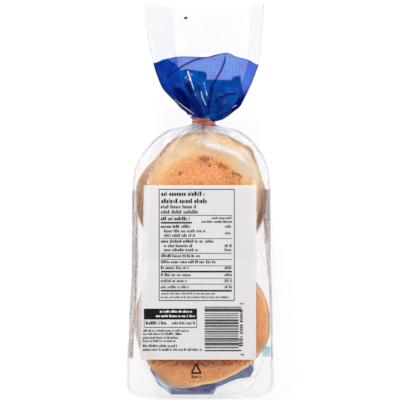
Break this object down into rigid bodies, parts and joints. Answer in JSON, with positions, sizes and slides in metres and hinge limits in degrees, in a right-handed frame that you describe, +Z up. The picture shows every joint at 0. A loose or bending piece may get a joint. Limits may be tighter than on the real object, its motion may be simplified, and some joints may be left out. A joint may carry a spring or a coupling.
{
  "type": "bag of english muffins",
  "caption": "Clear film bag of stacked english muffins, lying on its back, gathered to a neck by a red ribbon tie, with a blue fanned tail.",
  "frame": {"origin": "on the surface that the bag lies on, under the middle of its box", "axes": "+Y from the sealed end to the open tail, +X to the right seen from above, +Z up through the stacks"},
  "size_m": [0.1048, 0.283, 0.084],
  "materials": {
    "clear_film": "clear polyethylene film, glossy, over pale muffins",
    "muffin_crust": "floury baked crust, matt, browned on the flat faces",
    "print_white": "white ink on film",
    "print_blue": "translucent blue ink on film",
    "print_dark": "black ink on film",
    "tie_ribbon": "red plastic ribbon over a wire"
  },
  "bodies": {
    "root": {"bag": "clear_film", "twist_tie": "tie_ribbon"}
  },
  "joints": []
}
